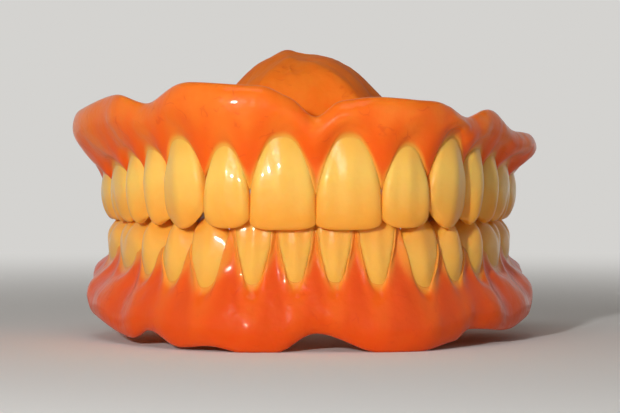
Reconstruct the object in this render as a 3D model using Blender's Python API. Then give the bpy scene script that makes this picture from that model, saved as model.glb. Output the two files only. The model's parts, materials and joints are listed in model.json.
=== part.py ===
"""An upper and a lower full denture, closed together in the bite.

Each denture is an acrylic base with fourteen artificial teeth in its sockets. Sizes here are in
millimetres and become metres where a mesh is made. Places are measured from the arch that the facial
surfaces of the teeth follow: s runs along it from the midline, positive to the wearer's left, and u is the
distance outside it. Heights are measured from the bite plane towards the jaw's own gum: up in the upper
denture, down in the lower one.
"""

import math
from dataclasses import dataclass, replace

import bmesh
import bpy
import numpy as np
from mathutils import Vector

MM = 0.001

# The dental arch is a superellipse in plan
ARCH_HALF_WIDTH = 31.2
ARCH_DEPTH = 49.0
ARCH_SQUARENESS = 3.3
ARCH_TAPER = 1.5
ARCH_SAMPLES = 1500

# How the lower arch lies behind the upper one, and how the teeth meet
OVERJET = 2.5
SIDE_OVERLAP = 0.6
CUSP_HEIGHT = 1.4
CUSP_SPACING = 2.3
FIRST_CUSP_LINE = -2.2
BITE_GAP = 0.3

# How the teeth sit in the acrylic
CONTACT_GAP = 0.3
SOCKET_GAP = 0.3
NECK_LENGTH = 1.5
NECK_ARCH = 1.2
CHEEK_TAPER = 0.35
FRONT_CROWDING = 1.35
BACK_CROWDING = 1.1

# The gum's edge round the teeth, on the cheek side and the tongue side
MARGIN_EDGE = 0.3
MARGIN_ROLL = 1.0
ROLL_REACH = 0.45
PAPILLA_DEPTH = 0.6
TONGUE_EDGE = 0.1
TONGUE_ROLL = 1.5
TONGUE_ROLL_REACH = 0.7

# The acrylic
BORDER_ROUND = 1.2
BORDER_TURN = 0.4
FLANGE_THICKNESS = 2.8
TONGUE_FLANGE_THICKNESS = 2.4
TONGUE_SHELF = 1.2
PALATE_THICKNESS = 2.2
RIDGE_SHELL = 2.2
ROOT_EMINENCE = 0.35
HEEL_LENGTH = 6.0

# The hollow over the ridge, and where the palate rises from it
RIDGE_CHEEK_SIDE = 4.4
RIDGE_FAR_SIDE = 7.0
PALATE_FOOT = 2.6
PALATE_FOOT_RISE = 1.2

# The palate's vault: its heights over the midline, and how far its top leans to the right. In steps from its
# foot to the midline, each side reaches these shares of the height. Near the front one side blends into the
# other.
VAULT_START = 16.0
VAULT_END = 42.0
VAULT_HEIGHTS = ((16.0, 21.4), (22.0, 23.2), (30.0, 24.5), (42.0, 21.4))
VAULT_LEAN = -3.2
VAULT_STEPS = (0.0, 0.2, 0.5, 0.72, 0.88, 1.0)
VAULT_RIGHT = (0.0, 0.36, 0.71, 0.865, 0.94, 1.0)
VAULT_LEFT = (0.0, 0.50, 0.88, 0.92, 0.93, 1.0)
VAULT_BLEND = 15.0
POLISHED_STEPS = (0.0, 0.2, 0.5, 0.72, 1.0)

# The base is cut in slices, placed by shares of a tooth's half width. Those of a heel are placed by shares
# of its length, and each has a size to which it is drawn in. All of them stand a little to the left of
# their places, so that none lies in a plane where two sockets meet.
FRONT_SLICES = (-0.64, 0.0, 0.64, 1.0)
BACK_SLICES = (-0.46, 0.46, 1.0)
HEEL_SLICES = ((0.5, 1.0), (0.9, 0.93), (1.0, 0.74))
SLICE_SHIFT = 0.06

# The lowest borders are finished to one plane, on which the pair stands
STANDING_HEIGHT = 16.6


@dataclass(frozen=True)
class Form:
    """How a kind of tooth swells from its neck end, at 0, to its biting edge, at 1.

    width and depth are shares of the tooth's own, and face is how far the facial surface stands outside the
    arch. Each is a run of keys, and so is roundness, from a square outline at 0 to an oval one at 1.
    tip_back is how far the tip stands behind the tooth's middle, as a share of its half width.
    """

    width: tuple
    depth: tuple
    face: tuple
    roundness: tuple
    ridge_lap: float
    corner_drop: float
    corner_power: float
    tip_back: float
    edge_round: float
    cusps: int
    rows: int


INCISOR = Form(
    width=((0.0, 0.62), (0.12, 0.72), (0.26, 0.84), (0.46, 0.95), (0.70, 1.0), (0.90, 0.995), (1.0, 0.96)),
    depth=((0.0, 0.74), (0.28, 1.0), (0.60, 0.62), (0.88, 0.33), (1.0, 0.17)),
    face=((0.0, -1.2), (0.12, -0.75), (0.40, -0.1), (0.60, 0.0), (0.88, -0.25), (1.0, -0.75)),
    roundness=((0.0, 1.0), (0.3, 0.9), (1.0, 0.7)),
    ridge_lap=4.6, corner_drop=0.5, corner_power=4.0, tip_back=0.0, edge_round=0.25, cusps=0, rows=5,
)
NARROW_INCISOR = replace(
    INCISOR,
    width=((0.0, 0.54), (0.12, 0.64), (0.26, 0.79), (0.46, 0.93), (0.70, 1.0), (0.90, 0.98), (1.0, 0.92)),
    corner_drop=0.8,
    corner_power=3.0,
    tip_back=0.05,
)
SLIM_INCISOR = Form(
    width=((0.0, 0.44), (0.15, 0.56), (0.45, 0.80), (0.80, 0.99), (0.92, 1.0), (1.0, 0.96)),
    depth=((0.0, 0.72), (0.28, 1.0), (0.60, 0.70), (0.88, 0.38), (1.0, 0.22)),
    face=((0.0, -0.9), (0.15, -0.55), (0.40, -0.1), (0.60, 0.0), (0.88, -0.25), (1.0, -0.6)),
    roundness=((0.0, 1.0), (0.3, 0.9), (1.0, 0.6)),
    ridge_lap=3.2, corner_drop=0.3, corner_power=4.0, tip_back=0.0, edge_round=0.2, cusps=0, rows=4,
)
CANINE = Form(
    width=((0.0, 0.56), (0.12, 0.68), (0.30, 0.85), (0.55, 0.98), (0.72, 1.0), (0.88, 0.96), (1.0, 0.78)),
    depth=((0.0, 0.76), (0.28, 1.0), (0.60, 0.72), (0.88, 0.36), (1.0, 0.16)),
    face=((0.0, -1.0), (0.12, -0.5), (0.40, 0.15), (0.60, 0.2), (0.88, -0.4), (1.0, -1.0)),
    roundness=((0.0, 1.0), (0.3, 0.95), (1.0, 0.95)),
    ridge_lap=4.4, corner_drop=1.3, corner_power=1.9, tip_back=0.25, edge_round=0.25, cusps=0, rows=5,
)
PREMOLAR = Form(
    width=((0.0, 0.62), (0.20, 0.78), (0.50, 0.97), (0.70, 1.0), (1.0, 0.84)),
    depth=((0.0, 0.74), (0.30, 0.97), (0.55, 1.0), (1.0, 0.88)),
    face=((0.0, -1.1), (0.20, -0.45), (0.50, 0.0), (0.72, -0.05), (1.0, -0.7)),
    roundness=((0.0, 1.0), (0.5, 0.9), (1.0, 0.95)),
    ridge_lap=2.6, corner_drop=0.7, corner_power=2.0, tip_back=0.0, edge_round=0.0, cusps=1, rows=3,
)
MOLAR = Form(
    width=((0.0, 0.74), (0.25, 0.87), (0.50, 0.98), (0.70, 1.0), (1.0, 0.90)),
    depth=((0.0, 0.78), (0.30, 0.97), (0.55, 1.0), (1.0, 0.88)),
    face=((0.0, -1.0), (0.25, -0.35), (0.50, 0.0), (0.72, -0.05), (1.0, -0.6)),
    roundness=((0.0, 0.9), (0.5, 0.7), (1.0, 0.7)),
    ridge_lap=2.2, corner_drop=0.7, corner_power=2.0, tip_back=0.0, edge_round=0.0, cusps=2, rows=3,
)


@dataclass(frozen=True)
class Tooth:
    """One artificial tooth: its size, its tip's height, and the heights of the gum line on both faces."""

    kind: str
    form: Form
    width: float
    depth: float
    tip: float
    gum: float
    tongue_gum: float
    papilla: float
    left_extra: float = 0.0


UPPER_TEETH = (
    Tooth("central_incisor", INCISOR, width=8.9, depth=6.4, tip=-0.2, gum=12.0, tongue_gum=7.2, papilla=5.0),
    Tooth("lateral_incisor", NARROW_INCISOR, width=6.9, depth=5.8, tip=0.0, gum=10.8, tongue_gum=7.0,
          papilla=6.4, left_extra=0.5),
    Tooth("canine", CANINE, width=8.0, depth=6.8, tip=-0.2, gum=11.8, tongue_gum=7.4, papilla=7.4),
    Tooth("first_premolar", PREMOLAR, width=7.1, depth=9.2, tip=0.0, gum=10.3, tongue_gum=6.4, papilla=7.0),
    Tooth("second_premolar", PREMOLAR, width=6.9, depth=9.2, tip=0.0, gum=9.4, tongue_gum=6.0, papilla=6.2),
    Tooth("first_molar", MOLAR, width=9.8, depth=10.6, tip=0.0, gum=8.0, tongue_gum=5.4, papilla=5.0),
    Tooth("second_molar", MOLAR, width=9.0, depth=10.2, tip=0.0, gum=6.6, tongue_gum=5.0, papilla=4.6),
)
LOWER_TEETH = (
    Tooth("central_incisor", SLIM_INCISOR, width=5.3, depth=5.6, tip=-1.5, gum=7.4, tongue_gum=6.2,
          papilla=1.2),
    Tooth("lateral_incisor", SLIM_INCISOR, width=5.8, depth=5.8, tip=-1.5, gum=7.7, tongue_gum=6.2,
          papilla=1.6),
    Tooth("canine", CANINE, width=6.8, depth=6.6, tip=-1.3, gum=8.2, tongue_gum=6.2, papilla=3.2),
    Tooth("first_premolar", PREMOLAR, width=7.0, depth=8.2, tip=0.0, gum=7.6, tongue_gum=5.4, papilla=3.6),
    Tooth("second_premolar", PREMOLAR, width=7.1, depth=8.4, tip=0.0, gum=6.9, tongue_gum=5.0, papilla=3.5),
    Tooth("first_molar", MOLAR, width=10.4, depth=10.2, tip=0.0, gum=6.3, tongue_gum=4.8, papilla=3.2),
    Tooth("second_molar", MOLAR, width=9.6, depth=10.0, tip=0.0, gum=5.6, tongue_gum=4.6, papilla=3.0),
)


@dataclass(frozen=True)
class Jaw:
    """One denture. Each run of keys gives a size along the arch, from the wearer's right to the left."""

    name: str
    side: int
    teeth: tuple
    half_width: float
    depth: float
    front: float
    papilla: float
    scallop_power: float
    border: tuple
    bulge: tuple
    ridge: tuple
    tongue_border: tuple = ()
    tongue_reach: tuple = ()


UPPER = Jaw(
    name="upper", side=1, teeth=UPPER_TEETH,
    half_width=ARCH_HALF_WIDTH, depth=ARCH_DEPTH, front=0.0, papilla=4.3, scallop_power=2.7,
    border=((-62, 13.0), (-50, 15.9), (-34, 18.0), (-27.5, 16.7), (-18, 19.5), (-7, 19.0), (-3.5, 17.5),
            (0, 14.5), (3, 17.0), (8, 17.5), (16, 17.0), (24.5, 14.8), (30.5, 15.95), (41, 12.9),
            (52, 12.4), (62, 11.0)),
    bulge=((-62, 1.2), (-48, 4.9), (-34, 3.0), (-26, 1.3), (-16, 1.6), (0, 0.7),
           (16, 1.6), (26, 1.0), (33, 1.6), (48, 3.6), (62, 0.8)),
    ridge=((-62, 9.0), (-40, 10.6), (0, 11.4), (30, 10.6), (44, 9.4), (62, 8.8)),
)
LOWER = Jaw(
    name="lower", side=-1, teeth=LOWER_TEETH,
    half_width=ARCH_HALF_WIDTH - SIDE_OVERLAP, depth=ARCH_DEPTH - OVERJET, front=OVERJET,
    papilla=1.0, scallop_power=2.1,
    border=((-58, 8.5), (-50, 12.0), (-44, 13.5), (-29, 15.85), (-25.4, 14.5), (-19, 16.5), (-14, 16.1),
            (-9, 17.0), (-5.5, 17.0), (0, 14.35), (9, 17.0), (13, 17.0), (20.5, 15.9), (23.5, 14.4),
            (34, 15.1), (42, 14.0), (50, 11.8), (58, 8.5)),
    bulge=((-58, 1.6), (-42, 4.0), (-28, 2.8), (-22, 2.0), (-12, 2.2), (0, 1.3),
           (12, 2.2), (22, 1.6), (30, 3.2), (42, 4.2), (58, 1.6)),
    ridge=((-58, 6.0), (-48, 9.0), (-30, 11.4), (0, 12.0), (30, 11.4), (48, 9.0), (58, 6.0)),
    tongue_border=((-58, 9.0), (-50, 14.0), (-40, 16.9), (-22, 14.8), (-6, 15.4), (0, 13.4),
                   (6, 15.4), (22, 14.8), (40, 16.9), (50, 14.0), (58, 9.0)),
    tongue_reach=((-58, 11.6), (-40, 12.6), (-24, 10.6), (0, 8.8), (24, 10.6), (40, 12.6), (58, 11.6)),
)


@dataclass(frozen=True)
class Finish:
    """The colour and gloss of one material."""

    colour: tuple
    roughness: float


BASE_ACRYLIC = Finish(colour=(0.86, 0.15, 0.035, 1.0), roughness=0.22)
TOOTH_RESIN = Finish(colour=(0.97, 0.50, 0.14, 1.0), roughness=0.25)


def eased(keys, place):
    """Read a run of keys at one place, with a smooth step from each key to the next."""
    if place <= keys[0][0]:
        return keys[0][1]
    for (start, low), (end, high) in zip(keys, keys[1:]):
        if place <= end:
            share = (place - start) / (end - start)
            return low + (high - low) * share * share * (3.0 - 2.0 * share)
    return keys[-1][1]


def straight(keys, place):
    """Read a run of keys at one place, with straight lines between them."""
    return float(np.interp(place, [key[0] for key in keys], [key[1] for key in keys]))


def mix(low, high, share):
    return low + (high - low) * share


class Arch:
    """A superellipse in plan that is read by the distance along it."""

    def __init__(self, half_width, depth, front):
        angle = np.linspace(0.0, math.pi / 2.0, ARCH_SAMPLES)
        self.x = half_width * np.sin(angle) ** (2.0 / ARCH_SQUARENESS)
        self.y = front + depth * (1.0 - np.clip(np.cos(angle), 0.0, 1.0) ** (2.0 / ARCH_TAPER))
        steps = np.hypot(np.diff(self.x), np.diff(self.y))
        self.s = np.concatenate(([0.0], np.cumsum(steps)))
        self.slope = np.arctan2(np.gradient(self.y), np.gradient(self.x))
        self.length = float(self.s[-1])

    def at(self, s, u):
        """The plan point at a distance s along the arch and u outside it."""
        reach = abs(s)
        slope = float(np.interp(reach, self.s, self.slope))
        x = float(np.interp(reach, self.s, self.x)) + u * math.sin(slope)
        y = float(np.interp(reach, self.s, self.y)) - u * math.cos(slope)
        y += max(0.0, reach - self.length)
        return math.copysign(x, s) if s else x, y

    def outside(self, x, y):
        """How far a plan point lies outside the arch: a negative number when it is inside."""
        nearest = int(np.argmin(np.hypot(self.x - abs(x), self.y - y)))
        slope = self.slope[nearest]
        return float((abs(x) - self.x[nearest]) * math.sin(slope) - (y - self.y[nearest]) * math.cos(slope))


ARCHES = {jaw.name: Arch(jaw.half_width, jaw.depth, jaw.front) for jaw in (UPPER, LOWER)}


def half_row(jaw, hand):
    """The teeth on one side, from the midline back: hand is 1 on the wearer's left, -1 on the right."""
    extra = 1.0 if hand > 0 else 0.0
    return [replace(tooth, width=tooth.width + extra * tooth.left_extra) for tooth in jaw.teeth]


def tooth_places(jaw, hand):
    """Each tooth on one side, with the distance of its centre from the midline along the arch."""
    edge = 0.0
    for tooth in half_row(jaw, hand):
        yield tooth, edge + tooth.width / 2.0
        edge += tooth.width


def tooth_row_end(jaw, hand):
    return sum(tooth.width for tooth in half_row(jaw, hand))


def cusp_lines(jaw):
    """The two lines of cusp tips and the groove between them, as distances from the upper arch."""
    first = FIRST_CUSP_LINE if jaw.side > 0 else FIRST_CUSP_LINE - CUSP_SPACING
    return first, first - CUSP_SPACING, first - 2.0 * CUSP_SPACING


def chewing_table(jaw, q, rim_u):
    """The distance from the upper arch and the height of one line across a back tooth's chewing surface.

    Cusp slopes of both jaws lie on one zigzag, half the bite gap from it on either side.
    """
    first, groove, last = cusp_lines(jaw)
    last = max(last, rim_u["tongue"] + CUSP_SPACING / 2.0)
    tip = BITE_GAP / 2.0 - (0.0 if jaw.side > 0 else CUSP_HEIGHT)
    steepness = CUSP_HEIGHT / CUSP_SPACING
    last_tip = tip + steepness * (last - cusp_lines(jaw)[2])
    if q > 0.75:
        return rim_u["cheek"], tip + steepness * abs(rim_u["cheek"] - first)
    if q > 0.25:
        return first, tip
    if q > -0.25:
        return groove, tip + CUSP_HEIGHT
    if q > -0.75:
        return last, last_tip
    return rim_u["tongue"], last_tip + steepness * abs(rim_u["tongue"] - last)


def cusp_drop(form, p):
    """How far the chewing surface falls away between and beside the cusps."""
    if form.cusps == 2:
        return form.corner_drop * math.cos(math.pi * p) ** 2
    return form.corner_drop * 1.6 * math.sin(math.pi * p / 2.0) ** 2


def tooth_point(jaw, tooth, centre, place, grow):
    """Move a block's point onto the tooth: p along the arch, q tongue to cheek, r neck to tip."""
    arch = ARCHES[jaw.name]
    form = tooth.form
    p, q, r = place
    rise = 1.0 - (1.0 - r) ** (FRONT_CROWDING if form.cusps == 0 else BACK_CROWDING)
    round_off = straight(form.roundness, rise)
    taper = round_off * (CHEEK_TAPER if q > 0.0 else 1.0)
    across = p * math.sqrt(1.0 - taper * q * q / 2.0)
    through = q * math.sqrt(1.0 - round_off * p * p / 2.0)
    half_width = (tooth.width - CONTACT_GAP) * straight(form.width, rise) / 2.0 + grow
    depth = tooth.depth * straight(form.depth, rise) + 2.0 * grow
    face = straight(form.face, rise) + grow
    s = centre + across * half_width
    u = face - depth * (1.0 - through) / 2.0
    neck = tooth.gum + NECK_LENGTH + grow - form.ridge_lap * (1.0 - q) / 2.0 - NECK_ARCH * p * p
    if form.cusps == 0:
        off_tip = abs(p - math.copysign(form.tip_back, centre))
        edge = tooth.tip + form.corner_drop * off_tip ** form.corner_power + form.edge_round * q * q
        return arch.at(s, u) + (mix(neck, edge, rise),)
    rim_u = {}
    for name, at in (("cheek", face), ("tongue", face - depth)):
        x, y = arch.at(s, at)
        rim_u[name] = ARCHES["upper"].outside(x, y)
    line, top = chewing_table(jaw, q, rim_u)
    if r == 1.0 and abs(q) < 0.75:
        for _ in range(3):
            x, y = arch.at(s, u)
            u += line - ARCHES["upper"].outside(x, y)
    return arch.at(s, u) + (mix(neck, top + cusp_drop(form, p), rise),)


def block(columns, layers, rows):
    """A gridded block from -1 to 1 in p and q and from 0 to 1 in r, all of four-sided faces."""
    mesh = bmesh.new()
    bmesh.ops.create_cube(mesh, size=2.0)
    for axis, cuts in ((0, columns - 1), (1, layers - 1), (2, rows - 1)):
        along_axis = [
            edge for edge in mesh.edges
            if abs(edge.verts[0].co[axis] - edge.verts[1].co[axis]) > 1.5
        ]
        bmesh.ops.subdivide_edges(mesh, edges=along_axis, cuts=cuts, use_grid_fill=True)
    for vert in mesh.verts:
        vert.co.z = (vert.co.z + 1.0) / 2.0
    return mesh


def finish_mesh(mesh, name):
    """Point the faces outwards, and turn the working mesh into a Blender mesh."""
    bmesh.ops.recalc_face_normals(mesh, faces=mesh.faces)
    if mesh.calc_volume(signed=True) < 0.0:
        bmesh.ops.reverse_faces(mesh, faces=mesh.faces)
    data = bpy.data.meshes.new(name)
    mesh.to_mesh(data)
    mesh.free()
    data.shade_smooth()
    data.set_sharp_from_angle(angle=math.radians(50.0))
    return data


def tooth_mesh(jaw, tooth, centre, name, grow=0.0):
    """One tooth, or with grow the same form swollen all over to cut its socket."""
    layers = 2 if tooth.form.cusps == 0 else 4
    mesh = block(4, layers, tooth.form.rows)
    neck_end = [face for face in mesh.faces if all(vert.co.z < 0.01 for vert in face.verts)]
    neck_end = bmesh.ops.dissolve_faces(mesh, faces=neck_end)["region"]
    bmesh.ops.poke(mesh, faces=neck_end)
    for vert in mesh.verts:
        place = tuple(round(value, 4) for value in vert.co)
        x, y, height = tooth_point(jaw, tooth, centre, place, grow)
        vert.co = Vector((x, y, jaw.side * height)) * MM
    return finish_mesh(mesh, name)


def slices(jaw):
    """Where the slices across the base stand, from right to left, and the size that each is drawn in to.

    Both sides have as many slices, so the two halves of a palate meet slice by slice on the midline.
    """
    places = [(0.0, 1.0)]
    for hand in (-1, 1):
        for tooth, centre in tooth_places(jaw, hand):
            for share in FRONT_SLICES if tooth.form.cusps == 0 else BACK_SLICES:
                places.append((hand * (centre + share * tooth.width / 2.0), 1.0))
        for share, size in HEEL_SLICES:
            places.append((hand * (tooth_row_end(jaw, hand) + share * HEEL_LENGTH), size))
    return sorted(places)


@dataclass(frozen=True)
class GumLine:
    """The gum line at one slice: its heights at cheek and tongue, and how far outside the arch it lies.

    depth is that of the teeth there, and middle runs from 1 at a tooth's middle to -1 between two teeth.
    """

    cheek: float
    tongue: float
    outside: float
    depth: float
    middle: float


def gum_line_at(jaw, s):
    reach = abs(s)
    places = list(tooth_places(jaw, s))
    depth = float(np.interp(reach, [centre for _, centre in places], [tooth.depth for tooth, _ in places]))
    papilla = jaw.papilla
    for tooth, centre in places:
        if reach > centre:
            papilla = tooth.papilla
        off_centre = abs(reach - centre) / (tooth.width / 2.0)
        if off_centre <= 1.0 + 1e-6:
            fall = off_centre ** jaw.scallop_power
            rise_at_gum = NECK_LENGTH / (tooth.gum + NECK_LENGTH - tooth.tip)
            edge = straight(tooth.form.face, rise_at_gum) + SOCKET_GAP + MARGIN_EDGE
            return GumLine(
                cheek=mix(tooth.gum, papilla, fall),
                tongue=mix(tooth.tongue_gum, min(papilla, tooth.tongue_gum - 1.0), fall),
                outside=mix(edge, -PAPILLA_DEPTH, fall),
                depth=depth,
                middle=math.cos(math.pi * off_centre),
            )
        papilla = tooth.papilla
    share = (reach - tooth_row_end(jaw, s)) / HEEL_LENGTH
    height = mix(papilla, eased(jaw.ridge, s) - RIDGE_SHELL, share * share)
    return GumLine(cheek=height, tongue=height, outside=-PAPILLA_DEPTH, depth=depth, middle=-1.0)


def crest(gum):
    """The gum under the teeth, from the gum line at the tongue to the middle of their depth."""
    return [
        (-gum.depth - TONGUE_EDGE, gum.tongue),
        (-0.5 * gum.depth, mix(gum.cheek, gum.tongue, 0.5)),
    ]


def cheek_side(jaw, s, gum):
    """The polished cheek side of a slice, from the gum line to the border's outer round."""
    border = eased(jaw.border, s)
    bulge = eased(jaw.bulge, s)
    swell = ROOT_EMINENCE * gum.middle
    return [
        (gum.outside, gum.cheek),
        (ROLL_REACH + swell, gum.cheek + MARGIN_ROLL),
        (mix(ROLL_REACH, bulge, 0.45) + swell, mix(gum.cheek, border, 0.30)),
        (bulge + 0.3 * swell, mix(gum.cheek, border, 0.60)),
        (bulge - BORDER_TURN, border - BORDER_ROUND),
    ]


def border_and_cheek_wall(jaw, s):
    """The round of the cheek border and the wall behind it, down into the ridge's hollow."""
    border = eased(jaw.border, s)
    bulge = eased(jaw.bulge, s)
    ridge = eased(jaw.ridge, s)
    inner = bulge - FLANGE_THICKNESS
    return [
        (mix(bulge, inner, 0.5), border),
        (inner, border - BORDER_ROUND),
        (-RIDGE_CHEEK_SIDE, mix(ridge, border, 0.12)),
    ]


def in_space(jaw, s, section):
    arch = ARCHES[jaw.name]
    return [arch.at(s + SLICE_SHIFT, u) + (height,) for u, height in section]


def drawn_in(points, middle, size):
    """Draw a slice's points in towards a middle, to round off a heel."""
    return [tuple(mix(m, value, size) for m, value in zip(middle, point)) for point in points]


def palate(s, gum, share):
    """The palate's fitting and polished sides, each from the foot beside the teeth to the midline.

    share runs from 0 at the front end of the midline to 1 at its rear end.
    """
    middle_y = mix(VAULT_START, VAULT_END, share)
    middle_z = eased(VAULT_HEIGHTS, middle_y)
    tilt = math.atan2(eased(VAULT_HEIGHTS, middle_y + 0.5) - eased(VAULT_HEIGHTS, middle_y - 0.5), 1.0)
    foot = (-gum.depth - PALATE_FOOT, eased(UPPER.ridge, s) + PALATE_FOOT_RISE)
    foot_x, foot_y, foot_z = in_space(UPPER, s, [foot])[0]
    run = math.hypot(foot_x, middle_y - foot_y)
    left = eased(((-VAULT_BLEND, 0.0), (VAULT_BLEND, 1.0)), s)
    rises = [mix(low, high, left) for low, high in zip(VAULT_RIGHT, VAULT_LEFT)]

    def fitting_point(f):
        rise = float(np.interp(f, VAULT_STEPS, rises))
        x = mix(foot_x, 0.0, f) + VAULT_LEAN * rise
        return x, mix(foot_y, middle_y, f), mix(foot_z, middle_z, rise)

    def polished_point(f):
        x, y, z = fitting_point(f)
        if f == 1.0:
            return x, y + PALATE_THICKNESS * math.sin(tilt), z - PALATE_THICKNESS * math.cos(tilt)
        behind = max(0.0, f - 0.1)
        steepness = (fitting_point(f + 0.1)[2] - fitting_point(behind)[2]) / (f + 0.1 - behind)
        slope = math.atan2(steepness, run)
        inward = min(PALATE_THICKNESS * math.sin(slope) / run, (1.0 - f) / 2.0)
        return x - foot_x * inward, y + (middle_y - foot_y) * inward, z - PALATE_THICKNESS * math.cos(slope)

    return [fitting_point(f) for f in VAULT_STEPS], [polished_point(f) for f in POLISHED_STEPS]


def upper_slice(s, size, share):
    """One slice of the upper base, from the polished midline round the flange to the fitting midline."""
    gum = gum_line_at(UPPER, s)
    fitting, polished = palate(s, gum, share)
    section = crest(gum) + cheek_side(UPPER, s, gum) + border_and_cheek_wall(UPPER, s)
    section.append((-RIDGE_FAR_SIDE, eased(UPPER.ridge, s)))
    middle = tuple(mix(a, b, 0.5) for a, b in zip(fitting[0], polished[0]))
    return polished[::-1] + drawn_in(in_space(UPPER, s, section), middle, size) + fitting


def lower_slice(s, size, share):
    """One closed slice of the lower base, from the gum line at the tongue round to the tongue flange."""
    gum = gum_line_at(LOWER, s)
    ridge = eased(LOWER.ridge, s)
    border = eased(LOWER.tongue_border, s)
    reach = max(eased(LOWER.tongue_reach, s), gum.depth + TONGUE_SHELF)
    inner = reach - TONGUE_FLANGE_THICKNESS
    section = crest(gum) + cheek_side(LOWER, s, gum) + border_and_cheek_wall(LOWER, s) + [
        (-mix(RIDGE_CHEEK_SIDE, inner, 0.5), ridge),
        (-mix(inner, RIDGE_CHEEK_SIDE, 0.12), mix(ridge, border, 0.35)),
        (-inner, border - BORDER_ROUND),
        (-mix(inner, reach, 0.5), border),
        (-reach, border - BORDER_ROUND),
        (-reach, mix(gum.tongue, border, 0.55)),
        (-gum.depth - TONGUE_ROLL_REACH, gum.tongue + TONGUE_ROLL),
    ]
    points = in_space(LOWER, s, section)
    return drawn_in(points, tuple(np.mean(points, axis=0)), size)


def all_slices(jaw, one_slice):
    places = slices(jaw)
    half = (len(places) - 1) / 2.0
    return [one_slice(s, size, abs(number - half) / half) for number, (s, size) in enumerate(places)]


def loft(rows, side, closed):
    """Join slices with as many points each by four-sided faces."""
    mesh = bmesh.new()
    grid = [[mesh.verts.new(Vector((x, y, side * z)) * MM) for x, y, z in row] for row in rows]
    count = len(grid[0])
    for row, following in zip(grid, grid[1:]):
        for j in range(count if closed else count - 1):
            k = (j + 1) % count
            mesh.faces.new((row[j], row[k], following[k], following[j]))
    mesh.faces.new(grid[0])
    mesh.faces.new(grid[-1][::-1])
    return mesh


def upper_base_mesh(name):
    """The upper base: both halves share the midline of the palate, so their midline points are merged."""
    mesh = loft(all_slices(UPPER, upper_slice), UPPER.side, closed=False)
    bmesh.ops.remove_doubles(mesh, verts=mesh.verts, dist=0.0001 * MM)
    bmesh.ops.holes_fill(mesh, edges=[edge for edge in mesh.edges if edge.is_boundary], sides=0)
    return finish_mesh(mesh, name)


def lower_base_mesh(name):
    """The lower base, a horseshoe whose lowest borders are finished to the plane that it stands on."""
    mesh = loft(all_slices(LOWER, lower_slice), LOWER.side, closed=True)
    everything = mesh.verts[:] + mesh.edges[:] + mesh.faces[:]
    cut = bmesh.ops.bisect_plane(
        mesh, geom=everything, dist=1e-7, clear_outer=True,
        plane_co=(0.0, 0.0, -STANDING_HEIGHT * MM), plane_no=(0.0, 0.0, -1.0),
    )
    rims = [item for item in cut["geom_cut"] if isinstance(item, bmesh.types.BMEdge)]
    bmesh.ops.holes_fill(mesh, edges=rims, sides=0)
    return finish_mesh(mesh, name)


def make_material(name, finish):
    material = bpy.data.materials.new(name)
    material.use_nodes = True
    shader = material.node_tree.nodes["Principled BSDF"]
    shader.inputs["Base Color"].default_value = finish.colour
    shader.inputs["Roughness"].default_value = finish.roughness
    shader.inputs["Metallic"].default_value = 0.0
    material.diffuse_color = finish.colour
    return material


def make_object(name, data, collection, parent, finish=None):
    thing = bpy.data.objects.new(name, data)
    collection.objects.link(thing)
    thing.parent = parent
    if finish:
        data.materials.append(make_material(name + "_finish", finish))
    return thing


def cut_socket(base, cutter):
    cutter.hide_render = True
    cutter.display_type = "WIRE"
    socket = base.modifiers.new(cutter.name, "BOOLEAN")
    socket.operation = "DIFFERENCE"
    socket.solver = "EXACT"
    socket.object = cutter


def build_denture(jaw, base_mesh, parts, cutters, parent):
    """One base with its teeth, and a socket cut for each of them."""
    base = make_object(jaw.name + "_base", base_mesh(jaw.name + "_base"), parts, parent, BASE_ACRYLIC)
    for hand, sign in (("right", -1), ("left", 1)):
        for tooth, centre in tooth_places(jaw, sign):
            name = f"{jaw.name}_{hand}_{tooth.kind}"
            data = tooth_mesh(jaw, tooth, sign * centre, name)
            make_object(name, data, parts, parent, TOOTH_RESIN)
            swollen = tooth_mesh(jaw, tooth, sign * centre, name + "_socket", grow=SOCKET_GAP)
            cut_socket(base, make_object(name + "_socket", swollen, cutters, parent))


def new_collection(name):
    collection = bpy.data.collections.new(name)
    bpy.context.scene.collection.children.link(collection)
    return collection


def stand_on_origin(stand, parts):
    """Move the empty that carries every piece, so that the pair stands centred on the world's origin."""
    points = np.array([vert.co for thing in parts.objects if thing.data for vert in thing.data.vertices])
    low, high = points.min(axis=0), points.max(axis=0)
    stand.location = (-(low[0] + high[0]) / 2.0, -(low[1] + high[1]) / 2.0, -low[2])


def main():
    for thing in list(bpy.data.objects):
        bpy.data.objects.remove(thing, do_unlink=True)
    parts = new_collection("full_denture")
    cutters = new_collection("socket_cutters")
    stand = bpy.data.objects.new("standing_point", None)
    parts.objects.link(stand)
    build_denture(UPPER, upper_base_mesh, parts, cutters, stand)
    build_denture(LOWER, lower_base_mesh, parts, cutters, stand)
    stand_on_origin(stand, parts)


main()
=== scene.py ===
# %% [markdown]
# # A full denture, closed in the bite
#
# A full denture is two dentures: an upper and a lower base of translucent orange-pink acrylic, each carrying
# fourteen resin teeth. The measured model gives every piece its place and size. This script gives the pieces
# their surfaces: rounded teeth with lobes and grooves, gums that hug each tooth, and materials that let light in.
#
# The measured model is loaded first. Nothing in it is moved. Each piece is rebuilt at a finer grain from the
# same sizes, and then stands for the measured one.

import json
import math

import bmesh
import bpy
import numpy as np
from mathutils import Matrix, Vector, noise
from mathutils.bvhtree import BVHTree

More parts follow.
